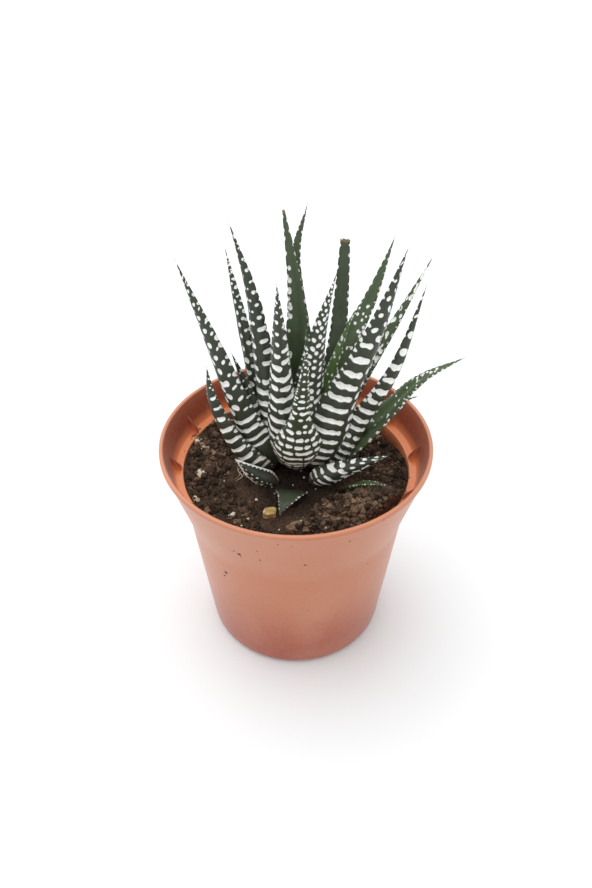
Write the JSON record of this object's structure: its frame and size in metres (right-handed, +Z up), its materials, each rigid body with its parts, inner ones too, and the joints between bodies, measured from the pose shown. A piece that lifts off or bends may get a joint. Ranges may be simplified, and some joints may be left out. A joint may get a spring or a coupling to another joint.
{
  "type": "potted haworthia",
  "caption": "Zebra haworthia: a rosette of thick tapering green leaves with raised white bands, rooted in peat in a small round flared plastic nursery pot.",
  "frame": {"origin": "centre of the pot's flat underside, on the surface it stands on", "axes": "+Z up along the pot's axis, -Y the front that the longest banded leaves fan out behind, +X to the right seen from the front"},
  "size_m": [0.0925, 0.085, 0.148],
  "materials": {
    "pot_plastic": "satin",
    "soil": "matte",
    "peat_fibre": "matte",
    "leaf": "satin",
    "stem": "matte",
    "root": "matte",
    "bark": "matte",
    "pebble": "matte",
    "perlite": "matte"
  },
  "bodies": {
    "root": {"pot": "pot_plastic", "soil": "soil", "stem": "stem", "leaf_left_tall": "leaf", "leaf_centre_slim": "leaf", "leaf_centre_dotted": "leaf", "leaf_young_right": "leaf", "leaf_young_centre": "leaf", "leaf_back_tall": "leaf", "leaf_back_broken": "leaf", "leaf_right_banded": "leaf", "leaf_right_channelled": "leaf", "leaf_right_far": "leaf", "leaf_back_curved": "leaf", "leaf_left_second": "leaf", "leaf_right_outer": "leaf", "leaf_front": "leaf", "leaf_left_outer": "leaf", "leaf_left_third": "leaf", "leaf_left_short": "leaf", "leaf_right_low": "leaf", "leaf_right_spur": "leaf", "leaf_back_left": "leaf", "leaf_back_right": "leaf", "leaf_back_low": "leaf", "leaf_left_back": "leaf", "leaf_right_back": "leaf", "leaf_old_left": "leaf", "leaf_old_right": "leaf", "leaf_old_front": "leaf", "leaf_old_hidden": "leaf", "root_front": "root", "root_right": "root", "root_back_right": "root", "root_back_left": "root", "root_left": "root", "peat_clump": "peat_fibre", "bark_chip_front": "bark", "bark_chip_right": "bark", "pebble_ochre": "pebble", "pebble_beige": "pebble", "perlite_1": "perlite", "perlite_2": "perlite", "perlite_3": "perlite", "perlite_4": "perlite", "perlite_5": "perlite"}
  },
  "joints": []
}
